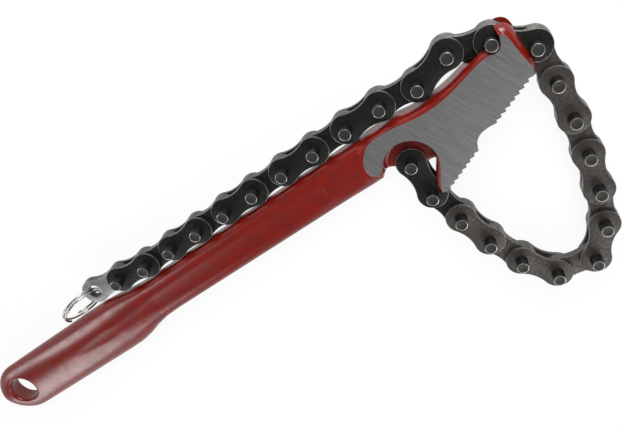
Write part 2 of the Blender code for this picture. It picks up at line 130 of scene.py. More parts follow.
def place_texture(tree, scale):
    """Noise that reads the piece's own coordinates, stretched by scale."""
    coordinates = add_node(tree, "ShaderNodeTexCoord")
    mapping = add_node(tree, "ShaderNodeMapping")
    mapping.inputs["Scale"].default_value = scale
    tree.links.new(coordinates.outputs["Object"], mapping.inputs["Vector"])
    texture = add_node(tree, "ShaderNodeTexNoise")
    tree.links.new(mapping.outputs["Vector"], texture.inputs["Vector"])
    return texture, mapping


def ramp(tree, source, stops):
    """Turns a grey value into a colour by stops of position and colour."""
    node = add_node(tree, "ShaderNodeValToRGB")
    first, last = stops[0], stops[-1]
    node.color_ramp.elements[0].position = first[0]
    node.color_ramp.elements[0].color = (*first[1], 1.0)
    node.color_ramp.elements[1].position = last[0]
    node.color_ramp.elements[1].color = (*last[1], 1.0)
    for position, colour in stops[1:-1]:
        element = node.color_ramp.elements.new(position)
        element.color = (*colour, 1.0)
    tree.links.new(source, node.inputs["Fac"])
    return node


def grey(value):
    return (value, value, value)


def add_bump(tree, shader, height, strength, distance):
    bump = add_node(tree, "ShaderNodeBump")
    bump.inputs["Strength"].default_value = strength
    bump.inputs["Distance"].default_value = distance
    tree.links.new(height, bump.inputs["Height"])
    tree.links.new(bump.outputs["Normal"], shader.inputs["Normal"])


helpers = (new_material, add_node, place_texture, ramp, grey, add_bump)
print("helpers:", [helper.__name__ for helper in helpers])

# %% [markdown]
# ## The table
# The picture is a plain studio shot on white. The table is a pale sweep: flat in the middle and
# curving up far away, so that every side view has white behind it too. A profile turned round
# the middle makes it in a few lines, and shading it smooth hides that it has only 64 sides.

# %% Table
TABLE_FLAT = 2.3
TABLE_DISC_SHARE = 0.4
TABLE_BEND = 0.7
TABLE_BEND_STEPS = 12
TABLE_SIDES = 64
table_z = cad_box[0].z


def table_profile():
    """Radius and height from the middle outwards: flat, then a quarter round up to a low wall."""
    profile = [(TABLE_DISC_SHARE * TABLE_FLAT, 0.0), (TABLE_FLAT, 0.0)]
    for i in range(1, TABLE_BEND_STEPS + 1):
        angle = math.radians(90.0 * i / TABLE_BEND_STEPS)
        radius = TABLE_FLAT + TABLE_BEND * math.sin(angle)
        profile.append((radius, TABLE_BEND * (1.0 - math.cos(angle))))
    return profile + [(TABLE_FLAT + TABLE_BEND, 2.0 * TABLE_BEND)]


def table_sweep():
    bm = bmesh.new()
    before = None
    for radius, height in table_profile():
        ring = []
        for i in range(TABLE_SIDES):
            angle = 2.0 * math.pi * i / TABLE_SIDES
            x, y = radius * math.cos(angle), radius * math.sin(angle)
            ring.append(bm.verts.new((x, y, table_z + height)))
        if before:
            for i in range(TABLE_SIDES):
                j = (i + 1) % TABLE_SIDES
                bm.faces.new((before[i], ring[i], ring[j], before[j]))
        else:
            bm.faces.new(ring)
        before = ring
    mesh = bpy.data.meshes.new("table")
    bm.to_mesh(mesh)
    bm.free()
    mesh.shade_smooth()
    return mesh


table_mesh = table_sweep()
table = bpy.data.objects.new("table", table_mesh)
bpy.context.scene.collection.objects.link(table)
print("table at mm:", round(table_z / MM, 2))

# %% [markdown]
# ## White for the eye, plain for the light
# The background has to be white without more light on the wrench. So the table's paint glows
# only for rays that come from the camera, from the shine of metal or through glass, and is
# plain pale paint for all the others. A tenth of the paint stays mixed in, and that tenth
# carries the soft shadow under the wrench.

# %% Table paint
TABLE_GREY, TABLE_ROUGHNESS = 0.93, 0.8
TABLE_WHITENESS = 0.9
table_paint, tree, shader = new_material("pale_table")
shader.inputs["Base Color"].default_value = (*grey(TABLE_GREY), 1.0)
shader.inputs["Roughness"].default_value = TABLE_ROUGHNESS
glow = add_node(tree, "ShaderNodeEmission")
rays = add_node(tree, "ShaderNodeLightPath")
seen = add_node(tree, "ShaderNodeMath", operation="ADD")
tree.links.new(rays.outputs["Is Camera Ray"], seen.inputs[0])
tree.links.new(rays.outputs["Is Glossy Ray"], seen.inputs[1])
seen_any = add_node(tree, "ShaderNodeMath", operation="ADD", use_clamp=True)
tree.links.new(seen.outputs[0], seen_any.inputs[0])
tree.links.new(rays.outputs["Is Transmission Ray"], seen_any.inputs[1])
share = add_node(tree, "ShaderNodeMath", operation="MULTIPLY")
share.inputs[1].default_value = TABLE_WHITENESS
tree.links.new(seen_any.outputs[0], share.inputs[0])
blend = add_node(tree, "ShaderNodeMixShader")
tree.links.new(share.outputs[0], blend.inputs["Fac"])
tree.links.new(shader.outputs[0], blend.inputs[1])
tree.links.new(glow.outputs[0], blend.inputs[2])
tree.links.new(blend.outputs[0], tree.nodes["Material Output"].inputs["Surface"])
table_mesh.materials.append(table_paint)
print("table whiteness:", TABLE_WHITENESS)

# %% [markdown]
# ## Room and lamps
# The room is dim, so that the flat blackened plates stay dark. Four soft square lamps do the
# rest. The key lamp stands in front of the neck, two lamps beyond the grip's end lay the long
# sheen on its enamel, and the last one brightens the jaw's ground face and the hook.

# %% World
ROOM_LIGHT = 0.15
world = bpy.data.worlds.new("studio")
bpy.context.scene.world = world
world.use_nodes = True
room = world.node_tree.nodes["Background"]
room.inputs["Color"].default_value = (1.0, 1.0, 1.0, 1.0)
room.inputs["Strength"].default_value = ROOM_LIGHT
print("room light:", ROOM_LIGHT)

# %% Lamps
LAMP_AIM = Vector((-0.09, -0.02, 0.0))


def soft_lamp(name, place, size, power):
    """A square area lamp at a place in metres that faces the middle of the wrench."""
    lamp = bpy.data.objects.new(name, bpy.data.lights.new(name, "AREA"))
    bpy.context.scene.collection.objects.link(lamp)
    lamp.location = place
    lamp.rotation_euler = (lamp.location - LAMP_AIM).to_track_quat("Z", "Y").to_euler()
    lamp.data.size = size
    lamp.data.energy = power


soft_lamp("key_lamp", (-0.04, -0.58, 0.50), 0.45, 2.6)
soft_lamp("side_lamp", (-0.74, -0.34, 0.40), 0.32, 1.7)
soft_lamp("far_lamp", (-0.74, 0.28, 0.50), 0.26, 1.6)
soft_lamp("jaw_lamp", (0.17, 0.24, 0.26), 0.25, 2.2)
bpy.context.scene.view_settings.view_transform = "Standard"

# %% [markdown]
# ## Finishes of the chain
# The chain is blackened and oiled. Its punched edges are coloured brighter, a painted highlight
# along every rim, and the rings round the pin ends are coloured bright too. Each finish gets fine
# noise in colour and roughness, since an even black never looks like steel. One function makes
# them all from two colours, a share of metal, a range of roughness and the strength of the grain.

# %% Steel maker
PATCH_SCALE, PATCH_DETAIL = 180.0, 5.0
GRAIN_SCALE, GRAIN_DETAIL, GRAIN_HEIGHT = 2200.0, 3.0, 0.06 * MM


def steel(name, dark, light, metallic, rough, grain):
    """Worn steel: colour and roughness wander between two values, with a fine cast grain."""
    material, tree, shader = new_material(name)
    patch, _ = place_texture(tree, (PATCH_SCALE,) * 3)
    patch.inputs["Detail"].default_value = PATCH_DETAIL
    tint = ramp(tree, patch.outputs["Fac"], ((0.32, dark), (0.72, light)))
    tree.links.new(tint.outputs["Color"], shader.inputs["Base Color"])
    shader.inputs["Metallic"].default_value = metallic
    gloss = ramp(tree, patch.outputs["Fac"], ((0.3, grey(rough[1])), (0.75, grey(rough[0]))))
    tree.links.new(gloss.outputs["Color"], shader.inputs["Roughness"])
    fine, _ = place_texture(tree, (GRAIN_SCALE,) * 3)
    fine.inputs["Detail"].default_value = GRAIN_DETAIL
    add_bump(tree, shader, fine.outputs["Fac"], grain, GRAIN_HEIGHT)
    return material


def set_shine(material, level):
    shader = material.node_tree.nodes["Principled BSDF"]
    shader.inputs["Specular IOR Level"].default_value = level


print("grain height in mm:", GRAIN_HEIGHT / MM)

# %% Chain finishes
face_black = steel("blackened_face", (0.006, 0.0064, 0.0058), (0.017, 0.0178, 0.016),
                   0.4, (0.34, 0.5), 0.35)
# Painted sheen: the loop's faces and sides are lighter and browner where the lamps shine on the
# loop, on the same steel as the slack chain.
face_painted_sheen = steel("loop_face_painted_sheen", (0.036, 0.032, 0.029), (0.075, 0.067, 0.061),
                   0.6, (0.38, 0.52), 0.35)
face_last = steel("last_plate_face", (0.165, 0.165, 0.162), (0.26, 0.26, 0.255),
                  0.7, (0.36, 0.5), 0.35)
side_black = steel("punched_side", (0.028, 0.028, 0.026), (0.075, 0.075, 0.070),
                   0.7, (0.3, 0.45), 0.3)
side_painted_sheen = steel("loop_side_painted_sheen", (0.055, 0.052, 0.048), (0.12, 0.113, 0.104),
                   0.75, (0.32, 0.46), 0.3)
# Painted highlight: every plate's rolled edge is coloured much brighter than its side, as if lit.
rim_painted_highlight = steel("rim_painted_highlight_steel", (0.14, 0.135, 0.128), (0.27, 0.262, 0.248),
                   0.85, (0.28, 0.4), 0.2)
pin_side = steel("pin_side", (0.004, 0.004, 0.0038), (0.010, 0.0098, 0.0093),
                 0.3, (0.4, 0.55), 0.25)
pin_ring = steel("pin_ring", (0.22, 0.213, 0.203), (0.36, 0.35, 0.333), 0.9, (0.24, 0.36), 0.15)
pin_end = steel("pin_end", (0.013, 0.0128, 0.012), (0.034, 0.033, 0.031), 0.5, (0.4, 0.55), 0.5)
FACE_SHINE, PIN_SHINE = 0.22, 0.3
set_shine(face_black, FACE_SHINE)
set_shine(pin_side, PIN_SHINE)
print("finishes so far:", [material.name for material in bpy.data.materials])

# %% [markdown]
# ## Link plates
# A leaf-chain plate is punched from strip: round ends, a hollow waist, sides square to the face
# and an edge slightly rolled by the die. Rings of points are lofted up the side and the two
# faces are filled across, so the same few lines make plates with and without holes.

# %% Plate sizes
END_RADIUS = 6.2 * MM
WAIST_HALF = 4.6 * MM
PLATE_THICKNESS = 1.5 * MM
PLATE_GAP = 0.25 * MM
PIN_RADIUS = 2.5 * MM
BORE_RADIUS = 2.8 * MM
RING_HOLE_RADIUS = 3.2 * MM
ROLLED_EDGE, HALF_ROLL_SHARE = 0.22 * MM, 0.3
ROUND_STEPS, HOLLOW_STEPS, HOLE_SIDES = 30, 9, 28
print("plate in mm:", round((PITCH + 2.0 * END_RADIUS) / MM, 2), "long")


# %% Flat outlines
def polar(centre, radius, degrees):
    angle = math.radians(degrees)
    return Vector((centre[0] + radius * math.cos(angle), centre[1] + radius * math.sin(angle)))


def arc(centre, radius, start, end, steps):
    return [polar(centre, radius, start + (end - start) * i / steps) for i in range(steps + 1)]


def circle(centre, radius, sides):
    return arc(centre, radius, 0.0, 360.0, sides)[:-1]


def plate_outline(inset=0.0):
    """Round ends joined by hollow arcs that touch them, all moved in by the inset."""
    half = 0.5 * PITCH
    hollow = (half ** 2 + WAIST_HALF ** 2 - END_RADIUS ** 2) / (2.0 * (END_RADIUS - WAIST_HALF))
    touch = math.degrees(math.atan2(WAIST_HALF + hollow, half))
    middle, bend = WAIST_HALF + hollow, hollow + inset
    outline = arc((0.0, 0.0), END_RADIUS - inset, touch, 360.0 - touch, ROUND_STEPS)
    outline += arc((half, -middle), bend, 180.0 - touch, touch, HOLLOW_STEPS)[1:-1]
    outline += arc((PITCH, 0.0), END_RADIUS - inset, touch - 180.0, 180.0 - touch, ROUND_STEPS)
    outline += arc((half, middle), bend, -touch, touch - 180.0, HOLLOW_STEPS)[1:-1]
    return outline


print("points round a plate:", len(plate_outline()))


# %% Walls and faces between outlines
def ring_verts(bm, outline, z):
    return [bm.verts.new((point[0], point[1], z)) for point in outline]


def bridge(bm, low, high, slot):
    """A wall of four-cornered faces between two rings with equally many points."""
    count = len(low)
    for i in range(count):
        j = (i + 1) % count
        bm.faces.new((low[i], low[j], high[j], high[i])).material_index = slot


def fill_between(bm, loops, slot):
    """A flat face inside the first loop, with the others as its holes."""
    edges = []
    for loop in loops:
        for a, b in zip(loop, loop[1:] + loop[:1]):
            edges.append(bm.edges.get((a, b)) or bm.edges.new((a, b)))
    filled = bmesh.ops.triangle_fill(bm, edges=edges, use_beauty=True, use_dissolve=False)
    for item in filled["geom"]:
        if isinstance(item, bmesh.types.BMFace):
            item.material_index = slot


FACE, SIDE, RIM, PIN_SIDE, PIN_RING, PIN_END = range(6)
print("material slots of a link:", PIN_END + 1)


# %% One plate
def add_plate(bm, low, hole_radii):
    """One plate from low upwards, with a rolled edge and a hole at each pin, if any."""
    high = low + PLATE_THICKNESS
    half_roll = HALF_ROLL_SHARE * ROLLED_EDGE
    levels = ((low, ROLLED_EDGE), (low + half_roll, half_roll), (low + ROLLED_EDGE, 0.0),
              (high - ROLLED_EDGE, 0.0), (high - half_roll, half_roll), (high, ROLLED_EDGE))
    rings = [ring_verts(bm, plate_outline(inset), z) for z, inset in levels]
    for i, slot in enumerate((RIM, RIM, SIDE, RIM, RIM)):
        bridge(bm, rings[i], rings[i + 1], slot)
    bottoms, tops = [rings[0]], [rings[-1]]
    for x, radius in zip((0.0, PITCH), hole_radii):
        bottom = ring_verts(bm, circle((x, 0.0), radius, HOLE_SIDES), low)
        top = ring_verts(bm, circle((x, 0.0), radius, HOLE_SIDES), high)
        bridge(bm, top, bottom, SIDE)
        bottoms.append(bottom)
        tops.append(top)
    fill_between(bm, bottoms, FACE)
    fill_between(bm, tops, FACE)


print("plate thickness in mm:", PLATE_THICKNESS / MM)

# %% [markdown]
# ## Pins
# The pins are long and stand well proud of the plates, because they are what hangs in the hook.
# Each is turned bar with a small chamfer. Its end is slightly dished, and a narrow ring round it
# is coloured bright. A turned thing is a profile spun about its axis.

# %% Pin
PIN_PROUD = 1.75 * MM
PIN_HALF = MID_Z + PIN_PROUD
PIN_SIDES = 32
PIN_PROFILE = (
    (0.0, -0.16, PIN_END), (0.62, -0.12, PIN_END), (0.83, 0.0, PIN_RING),
    (0.90, -0.015, PIN_RING), (0.96, -0.09, PIN_SIDE), (1.0, -0.26, PIN_SIDE),
)


def add_pin(bm, x):
    """Profile radius as a share of the pin's, height in mm from the pin's tip."""
    levels = [(r * PIN_RADIUS, PIN_HALF + h * MM, slot) for r, h, slot in PIN_PROFILE]
    levels += [(r, -z, slot) for r, z, slot in reversed(levels)]
    before = None
    for radius, z, slot in levels:
        if radius == 0.0:
            here = [bm.verts.new((x, 0.0, z))]
        else:
            here = ring_verts(bm, circle((x, 0.0), radius, PIN_SIDES), z)
        if before is not None:
            join_turned(bm, before[0], here, before[1] if z > 0.0 else slot)
        before = (here, slot)


def join_turned(bm, high, low, slot):
    """Faces between two rings, either of which may be a single point on the axis."""
    sides = max(len(high), len(low))
    for i in range(sides):
        j = (i + 1) % sides
        corners = [high[i % len(high)], high[j % len(high)], low[j % len(low)], low[i % len(low)]]
        unique = list(dict.fromkeys(corners))
        bm.faces.new(unique).material_index = slot


print("pin length in mm:", round(2.0 * PIN_HALF / MM, 2))

# %% [markdown]
# ## Links
# The twenty-six links are outer and inner ones by turns, so each kind of plate is made once for
# each look and the copies share its mesh. Odd links are outer links, whose pins are riveted in
# their upper plate; even links lie inside them. The loop that goes round the pipe is painted
# lighter and browner than the slack chain, apart from its first two links: a painted sheen of
# the lamps on the same steel. The very last plates are the palest.

# %% Levels of the plates
INNER_HALF = PLATE_THICKNESS + 0.5 * PLATE_GAP
UPPER_OUTER = INNER_HALF + PLATE_GAP
LOWER_OUTER = -INNER_HALF - PLATE_GAP - PLATE_THICKNESS
UPPER_INNER = 0.5 * PLATE_GAP
LOWER_INNER = -0.5 * PLATE_GAP - PLATE_THICKNESS
print("upper outer plate from mm:", round(UPPER_OUTER / MM, 3))

# %% Templates for the links
SHARP_ANGLE = 32.0


def finish_mesh(bm, name, materials):
    bmesh.ops.recalc_face_normals(bm, faces=bm.faces)
    mesh = bpy.data.meshes.new(name)
    bm.to_mesh(mesh)
    bm.free()
    for material in materials:
        mesh.materials.append(material)
    mesh.shade_smooth()
    mesh.set_sharp_from_angle(angle=math.radians(SHARP_ANGLE))
    return mesh


def link_mesh(name, low, hole_radii, with_pins, face, side):
    bm = bmesh.new()
    add_plate(bm, low, hole_radii)
    if with_pins:
        add_pin(bm, 0.0)
        add_pin(bm, PITCH)
    return finish_mesh(bm, name, (face, side, rim_painted_highlight, pin_side, pin_ring, pin_end))


def lay_piece(name, mesh, start, end, body):
    """Put a link's mesh from its pin at start towards end, and let it ride on its body."""
    piece = bpy.data.objects.new(name, mesh)
    bpy.context.scene.collection.objects.link(piece)
    piece.location = start
    piece.rotation_euler = (0.0, 0.0, math.atan2(end.y - start.y, end.x - start.x))
    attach(piece, body)
    return piece


BOTH_BORES, LAST_HOLES = (BORE_RADIUS, BORE_RADIUS), (BORE_RADIUS, RING_HOLE_RADIUS)
LOOKS = {
    "slack": (face_black, side_black, BOTH_BORES),
    # The loop look carries the painted sheen; the slack look is the plain blackened steel.
    "loop": (face_painted_sheen, side_painted_sheen, BOTH_BORES),
    "last": (face_last, side_black, LAST_HOLES),
}
templates = {}
for look, (face, side, holes) in LOOKS.items():
    for kind, low, hole_radii, with_pins in (
            ("pin_plate", UPPER_OUTER, (), True), ("cap_plate", LOWER_OUTER, (), False),
            ("upper_plate", UPPER_INNER, holes, False), ("lower_plate", LOWER_INNER, holes, False)):
        name = kind + "_" + look
        templates[kind, look] = link_mesh(name, low, hole_radii, with_pins, face, side)
print("templates:", len(templates))

# %% Lay the chain
LOOP_START, LOOP_END = 2, 12
OUTER_KINDS, INNER_KINDS = ("pin_plate", "cap_plate"), ("upper_plate", "lower_plate")
laid = 0
for k in range(len(pins) - 1):
    body = "link_%02d" % (k + 1)
    look = "loop" if LOOP_START <= k < LOOP_END else "slack"
    if k == len(pins) - 2:
        look = "last"
    for kind in OUTER_KINDS if k % 2 == 0 else INNER_KINDS:
        node = body + "_" + kind
        piece = lay_piece(node + "_dressed", templates[kind, look], pins[k], pins[k + 1], body)
        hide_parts(node)
        laid += 1
print("chain pieces laid:", laid)

# %% [markdown]
# ## The split ring
# A split ring is spring wire wound twice, side by side. Its route is two turns of a flat helix
# through the last plates' hole, and a small round profile is swept along it. Two turns made as
# separate rings would look alike from afar, but the ends of the wire would be missing.

# %% Route of the ring
RING_RADIUS = 10.0 * MM
WIRE_RADIUS = 0.52 * MM
COIL_PITCH = 1.45 * MM
RING_HEADING = 197.0
RING_LEAN = 28.0
RING_DROP = 18.0
RING_TURNS = 2
RING_STEPS = 72
RING_TRIM = 3


def ring_route():
    heading, lean, drop = (math.radians(value) for value in (RING_HEADING, RING_LEAN, RING_DROP))
    outward = Vector((math.cos(heading), math.sin(heading), 0.0))
    side = Vector((-math.sin(heading), math.cos(heading), 0.0))
    rise = Vector((0.0, 0.0, math.cos(lean))) - side * math.sin(lean)
    normal = outward.cross(rise)
    centre = (outward * math.cos(drop) + rise * math.sin(drop)) * RING_RADIUS
    route = []
    for i in range(RING_TRIM, RING_TURNS * RING_STEPS - RING_TRIM):
        turn = 2.0 * math.pi * i / RING_STEPS
        lift = COIL_PITCH * (i / RING_STEPS - 1.0)
        spoke = outward * math.cos(turn) + rise * math.sin(turn)
        route.append(centre + spoke * RING_RADIUS + normal * lift)
    return route, normal


route, normal = ring_route()
print("ring points:", len(route))

# %% Wire along the route
WIRE_SIDES = 14
WIRE_END_SHARE = 0.85


def swept_wire(name, route, normal, radius, material):
    bm = bmesh.new()
    before = None
    for i, here in enumerate(route):
        along = (route[min(i + 1, len(route) - 1)] - route[max(i - 1, 0)]).normalized()
        side = normal.cross(along).normalized()
        up = along.cross(side)
        end = i in (0, len(route) - 1)
        ring = []
        for j in range(WIRE_SIDES):
            angle = 2.0 * math.pi * j / WIRE_SIDES
            reach = radius * (WIRE_END_SHARE if end else 1.0)
            spoke = side * math.cos(angle) + up * math.sin(angle)
            ring.append(bm.verts.new(here + spoke * reach))
        if before:
            bridge(bm, before, ring, 0)
        else:
            bm.faces.new(list(reversed(ring)))
        before = ring
    bm.faces.new(before)
    return finish_mesh(bm, name, (material,))


nickel = steel("nickel_wire", (0.30, 0.295, 0.28), (0.48, 0.47, 0.455), 1.0, (0.16, 0.26), 0.12)
ring_mesh = swept_wire("split_ring_dressed", route, normal, WIRE_RADIUS, nickel)
ring_piece = bpy.data.objects.new("split_ring_dressed", ring_mesh)
bpy.context.scene.collection.objects.link(ring_piece)
ring_piece.location = pins[-1]
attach(ring_piece, "ring")
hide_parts("split_ring")
print("ring faces:", len(ring_mesh.polygons))

# %% [markdown]
# ## The forging
# Handle and jaw are one forging, dipped in enamel, after which the jaw's two wide faces are
# ground bare and the teeth are milled. It is made in the same order. A blank is built from a
# lofted shaft and a lofted jaw, a little too large at the jaw, with the troughs and the hanging
# hole already in it. Remeshing and smoothing melt it into one soft skin, as forging and enamel
# do. Then teeth, the hook's slot, the anchor's bore and the ground faces are cut, which leaves
# crisp edges only where a cutter has been.

# %% [markdown]
# ## The jaw's outline
# A row of four numbers holds two points: where the ground face ends, and where the red body
# round it ends a little further out. All points are counted in chain pitches from the pin that
# lies in the hook, and a smooth curve is laid through these rows. BLANK_SHARES has one point a
# row and keeps straight sides, since teeth are cut there later.

# %% Jaw outline
TONGUE_SHARES = (
    (-3.780, -1.105, -3.740, -1.230), (-3.987, -1.146, -4.010, -1.342),
    (-4.069, -0.945, -4.252, -1.134), (-4.031, -0.724, -4.315, -0.756),
    (-3.880, -0.529, -4.220, -0.378), (-3.654, -0.378, -3.780, -0.246),
    (-3.370, -0.328, -3.402, -0.246),
)
BACK_SHARES = (
    (-2.898, -0.372, -2.898, -0.240), (-2.394, -0.460, -2.394, -0.318),
    (-1.890, -0.492, -1.890, -0.338), (-1.386, -0.436, -1.386, -0.292),
    (-0.882, -0.315, -0.882, -0.188), (-0.504, -0.222, -0.535, -0.105),
    (-0.315, -0.195, -0.315, -0.057),
)
PRONG_SHARES = (
    (0.220, 0.019, 0.206, 0.139), (0.258, 0.057, 0.206, 0.239),
    (0.290, 0.063, 0.240, 0.283), (0.322, 0.030, 0.353, 0.271),
    (0.348, -0.045, 0.479, 0.189), (0.362, -0.160, 0.548, 0.031),
    (0.376, -0.378, 0.548, -0.315), (0.400, -0.630, 0.542, -0.598),
    (0.428, -0.850, 0.567, -0.819), (0.454, -0.976, 0.542, -0.957),
    (0.422, -1.065, 0.447, -1.065),
)
CLAW_SHARES = (
    (-2.791, -2.450, -2.791, -2.469), (-2.870, -2.455, -2.935, -2.494),
    (-2.895, -2.381, -2.998, -2.406), (-2.832, -2.255, -2.961, -2.268),
    (-2.662, -2.009, -2.803, -1.997), (-2.500, -1.739, -2.614, -1.726),
)
BLANK_SHARES = ((0.41, -1.27), (-0.95, -1.85), (-1.20, -1.82), (-1.65, -2.20), (-2.66, -2.66))
print("back and prong rows:", len(BACK_SHARES), len(PRONG_SHARES))


# %% Points of the jaw
def jaw_point(x_share, y_share):
    return Vector((HOOK.x + x_share * PITCH, HOOK.y + y_share * PITCH))


def mix(a, b, share):
    return a + (b - a) * share


def jaw_pairs(shares):
    return [(jaw_point(a, b), jaw_point(c, d)) for a, b, c, d in shares]


def smooth_run(pairs, steps=5):
    """More pairs on a smooth curve that goes through the given ones, a Catmull-Rom spline."""
    flat = [Vector((*ground, *body)) for ground, body in pairs]
    padded = [flat[0] * 2.0 - flat[1]] + flat + [flat[-1] * 2.0 - flat[-2]]
    run = []
    for i in range(1, len(padded) - 2):
        a, b, c, d = padded[i - 1:i + 3]
        for j in range(steps):
            t = j / steps
            point = 0.5 * ((2.0 * b) + (c - a) * t + (2.0 * a - 5.0 * b + 4.0 * c - d) * t * t
                           + (3.0 * b - a - 3.0 * c + d) * t ** 3)
            run.append(point)
    run.append(flat[-1])
    return [(Vector(point[:2]), Vector(point[2:])) for point in run]


back = smooth_run(jaw_pairs(TONGUE_SHARES + BACK_SHARES))
print("pairs along tongue and back:", len(back))

# %% Round parts of the outline
BORDER_WIDTH = 0.8 * MM
RECESS_RADIUS, RECESS_FROM, RECESS_TO, RECESS_STEPS = 10.4 * MM, -8.0, 150.0, 40
SEAT_RADIUS, SEAT_STEPS = 3.0 * MM, 12
SEAT_GROUND_FROM, SEAT_GROUND_TO = 232.0, 349.0
SEAT_BODY_FROM, SEAT_BODY_TO = 205.0, 354.0
SEAT_BORDER_FROM, SEAT_BORDER_TO = 1.1, 0.1


def seat_pairs():
    """Round the hook's seat; the red border runs out towards the prong."""
    pairs = []
    for i in range(SEAT_STEPS + 1):
        share = i / SEAT_STEPS
        edge = SEAT_RADIUS + BORDER_WIDTH * mix(SEAT_BORDER_FROM, SEAT_BORDER_TO, share)
        ground = polar(HOOK, edge, mix(SEAT_GROUND_FROM, SEAT_GROUND_TO, share))
        pairs.append((ground, polar(HOOK, SEAT_RADIUS, mix(SEAT_BODY_FROM, SEAT_BODY_TO, share))))
    return pairs


def recess_pairs():
    """Round the recess in which the chain's first link swings."""
    edge, body = (arc(ANCHOR, radius, RECESS_FROM, RECESS_TO, RECESS_STEPS)
                  for radius in (RECESS_RADIUS + BORDER_WIDTH, RECESS_RADIUS))
    return list(zip(edge, body))


def blank_pairs():
    """The blank's outline, clockwise; where teeth come, it reaches past them."""
    pairs = back + seat_pairs() + smooth_run(jaw_pairs(PRONG_SHARES))
    pairs += [(jaw_point(a, b), jaw_point(a, b)) for a, b in BLANK_SHARES]
    pairs += smooth_run(jaw_pairs(CLAW_SHARES)) + recess_pairs()
    return pairs


print("outline pairs:", len(blank_pairs()))

# %% [markdown]
# ## Teeth and throat
# The jaw bites with two straight rows of teeth that meet in a hollow throat. Each tooth has a
# short land at its tip, a long back and a steep face, all leaning the same way, so that the jaw
# holds when the handle is pulled and lets go when it is pushed back.

# %% Line of the teeth
UPPER_ROW_SHARES = ((0.373, -1.141), (-0.878, -1.635))
THROAT_SHARES = ((-1.115, -1.622), (-1.330, -1.655), (-1.478, -1.752), (-1.568, -1.872))
LOWER_ROW_SHARES = ((-1.603, -1.986), (-2.684, -2.450))
UPPER_TEETH, LOWER_TEETH = 8, 7
TOOTH_DEPTH = 0.95 * MM
TOOTH_LAND_SHARE, TOOTH_FACE_SHARE = 0.12, 0.20


def tooth_row(ends, count):
    """From tip to tip: a short land, a long back that falls inwards, then a steep face."""
    start, end = jaw_point(*ends[0]), jaw_point(*ends[1])
    step = (end - start) / count
    inward = Vector((step.y, -step.x)).normalized()
    points = [start]
    for i in range(count):
        tip = start + step * (i + 1)
        notch = tip - step * TOOTH_FACE_SHARE + inward * TOOTH_DEPTH
        points += [tip - step * (1.0 - TOOTH_LAND_SHARE), notch, tip]
    return points


throat_ends = (UPPER_ROW_SHARES[1],) + THROAT_SHARES + (LOWER_ROW_SHARES[0],)
throat = smooth_run([(jaw_point(a, b), jaw_point(a, b)) for a, b in throat_ends])
tooth_line = tooth_row(UPPER_ROW_SHARES, UPPER_TEETH)
tooth_line += [ground for ground, _ in throat[1:-1]]
tooth_line += tooth_row(LOWER_ROW_SHARES, LOWER_TEETH)
print("points along teeth and throat:", len(tooth_line))

# %% [markdown]
# ## Lofts and cutters
# Two tools make the forging. A loft is a skin over a row of rings with equally many points, and
# a prism is a loft with two equal rings. Booleans then join lofts or cut one out of another.
# The exact solver is used while the blank is built up, and the quicker one after the remesh.

# %% Lofts
def loft(name, rings):
    bm = bmesh.new()
    loops = [[bm.verts.new(point) for point in ring] for ring in rings]
    for low, high in zip(loops, loops[1:]):
        bridge(bm, low, high, 0)
    bm.faces.new(list(reversed(loops[0])))
    bm.faces.new(loops[-1])
    bmesh.ops.triangulate(bm, faces=bm.faces[:])
    bmesh.ops.recalc_face_normals(bm, faces=bm.faces)
    mesh = bpy.data.meshes.new(name)
    bm.to_mesh(mesh)
    bm.free()
    piece = bpy.data.objects.new(name, mesh)
    bpy.context.scene.collection.objects.link(piece)
    return piece


def prism(name, outline, low, high):
    return loft(name, [[(p[0], p[1], z) for p in outline] for z in (low, high)])


print("loft and prism ready")


# %% Cutters
def apply_modifiers(piece):
    graph = bpy.context.evaluated_depsgraph_get()
    mesh = bpy.data.meshes.new_from_object(piece.evaluated_get(graph))
    piece.modifiers.clear()
    piece.data = mesh


def combine(target, other, operation, solver="MANIFOLD"):
    modifier = target.modifiers.new(operation, "BOOLEAN")
    modifier.operation = operation
    modifier.solver = solver
    modifier.object = other
    apply_modifiers(target)
    bpy.data.objects.remove(other, do_unlink=True)


# %% Blank of the jaw
JAW_THICKNESS = 14.0 * MM
BORDER_FALL = 4.0 * MM
BLANK_LEVELS = (-0.30, 0.0, 0.08, 0.2, 0.36, 0.55, 0.77, 1.0)
PAST_GROUND = 1.4


def jaw_blank():
    """Ground outline swelling to the body's in a quarter round, from above the ground face."""
    pairs = list(reversed(blank_pairs()))
    rings = []
    for level in BLANK_LEVELS:
        swell = math.sqrt(1.0 - (1.0 - level) ** 2) if level > 0.0 else PAST_GROUND * level
        flat = [mix(ground, body, swell) for ground, body in pairs]
        rings.append([(p.x, p.y, level * BORDER_FALL) for p in flat])
    top = [[(x, y, JAW_THICKNESS - z) for x, y, z in ring] for ring in reversed(rings)]
    return loft("jaw_blank", rings + top)


print("rings of the jaw:", 2 * len(BLANK_LEVELS))

# %% [markdown]
# ## The shaft
# The handle is a bar that is nearly square in the neck and nearly oval in the grip. A
# superellipse gives both, by one number for how boxy it is. Rings of it are set along the
# handle, and a short row of stations says how wide and how thick each one is.

